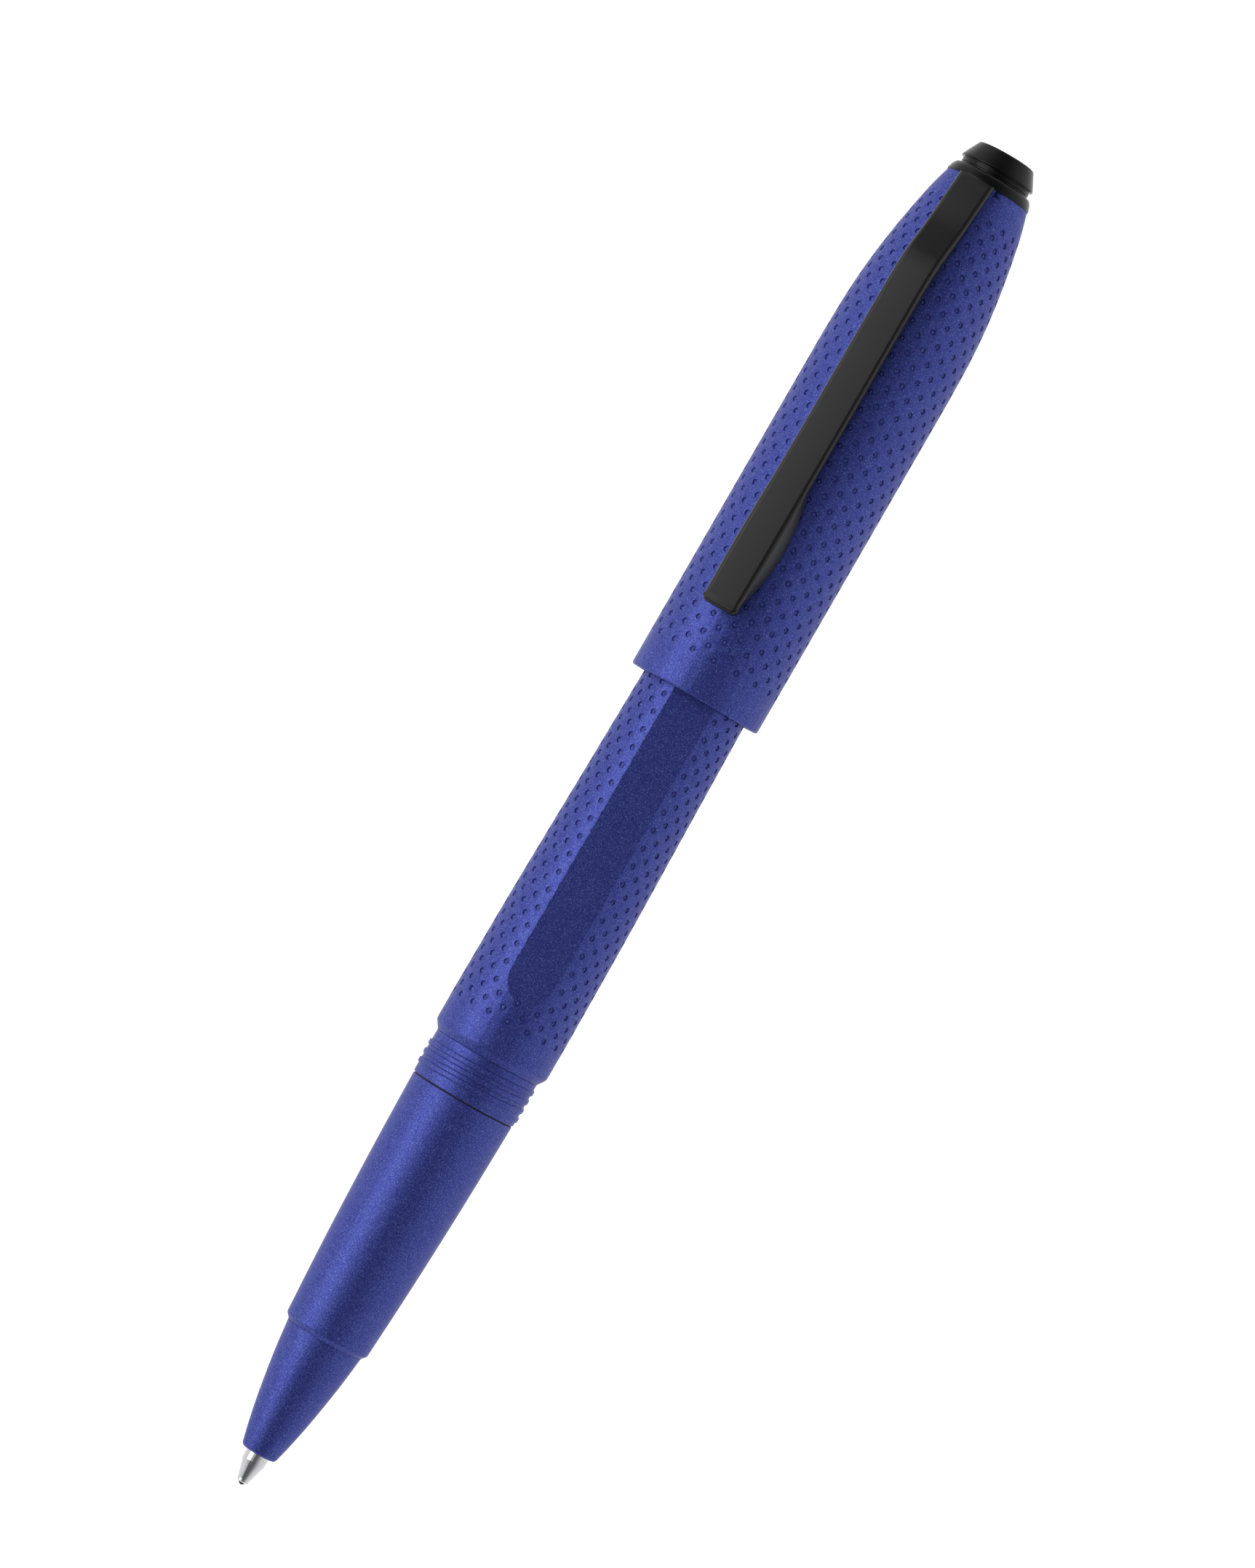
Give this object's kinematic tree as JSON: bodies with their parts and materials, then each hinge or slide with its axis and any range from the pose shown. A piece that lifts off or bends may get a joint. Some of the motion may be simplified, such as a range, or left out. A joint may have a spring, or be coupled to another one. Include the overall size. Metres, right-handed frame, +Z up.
{
  "type": "rollerball pen",
  "caption": "Rollerball pen open for writing: faceted, pitted blue barrel, screw-in grip section with refill, and a pull-off cap with a black clip posted on its tail.",
  "frame": {"origin": "under the middle of the pen's length, on the surface that the posted cap lies on", "axes": "+X along the pen from the writing ball to the finial, +Y across, +Z up, with the clip on top"},
  "size_m": [0.1498, 0.014, 0.0164],
  "materials": {
    "lacquer": "deep blue metallic lacquer, satin, with a field of small round pits",
    "moulding": "moulded resin in the same blue lacquer",
    "black": "satin black coating on brass or steel",
    "clip_black": "satin black coating on spring steel",
    "brass": "turned",
    "steel": "turned, bright",
    "carbide": "polished, wet with ink",
    "spring_steel": "drawn wire",
    "white_plastic": "moulded",
    "dark_plastic": "moulded",
    "clear_plastic": "smooth extruded tube",
    "ink": "gel ink, stands in as a solid",
    "grease": "follower grease, stands in as a solid",
    "felt": "compressed fibre",
    "seal": "soft black ring"
  },
  "bodies": {
    "barrel": {"barrel_shell": "lacquer", "thread_collar": "moulding", "barrel_bush": "brass", "barrel_end_plug": "dark_plastic", "spring_guide": "brass"},
    "posting_ring": {"posting_ring": "seal"},
    "cap": {"cap_shell": "lacquer", "cap_bush": "dark_plastic", "inner_cap": "dark_plastic", "clip_collar": "black", "neck_ring": "black", "finial_button": "black", "finial_nut": "brass"},
    "clip": {"clip": "clip_black"},
    "seal": {"section_seal": "seal"},
    "section": {"grip_section": "lacquer", "nose_cone": "lacquer", "section_tenon": "brass"},
    "refill": {"refill_tip": "steel", "refill_tip_holder": "white_plastic", "refill_wick": "felt", "refill_tube": "clear_plastic", "refill_ink": "ink", "refill_follower": "grease", "refill_tail_plug": "dark_plastic"},
    "spring": {"refill_spring": "spring_steel"},
    "ball": {"refill_ball": "carbide"}
  },
  "joints": [
    {"name": "cap_turn", "type": "hinge", "parent": "barrel", "child": "posting_ring", "pos_m": [0.04013, 0, 0.00703], "axis": [1, 0, 0], "continuous": true},
    {"name": "cap_pull", "type": "slide", "parent": "posting_ring", "child": "cap", "axis": [1, 0, 0], "range_m": [0, 0.045]},
    {"name": "clip_flex", "type": "hinge", "parent": "cap", "child": "clip", "pos_m": [0.07103, 0, 0.01253], "axis": [0, 1, 0], "range_deg": [0, 4], "stiffness_Nm_per_rad": 4, "springref_deg": -1.15},
    {"name": "section_travel", "type": "slide", "parent": "barrel", "child": "seal", "axis": [-1, 0, 0], "range_m": [0, 0.0075]},
    {"name": "section_turn", "type": "hinge", "parent": "seal", "child": "section", "pos_m": [-0.03145, 0, 0.00703], "axis": [-1, 0, 0], "range_deg": [0, 3605]},
    {"name": "refill_give", "type": "slide", "parent": "section", "child": "refill", "axis": [1, 0, 0], "range_m": [0, 0.0008], "stiffness_N_per_m": 900, "springref_m": -0.001},
    {"name": "spring_shift", "type": "slide", "parent": "barrel", "child": "spring", "axis": [1, 0, 0], "range_m": [0, 0.0004]},
    {"name": "ball_roll", "type": "hinge", "parent": "refill", "child": "ball", "pos_m": [-0.07452, 0, 0.00703], "axis": [0, 1, 0], "continuous": true}
  ],
  "couplings": [
    {"joint": "section_turn", "follows": "section_travel", "rad_per_m": 8377.6},
    {"joint": "spring_shift", "follows": "refill_give", "ratio": 0.5}
  ]
}
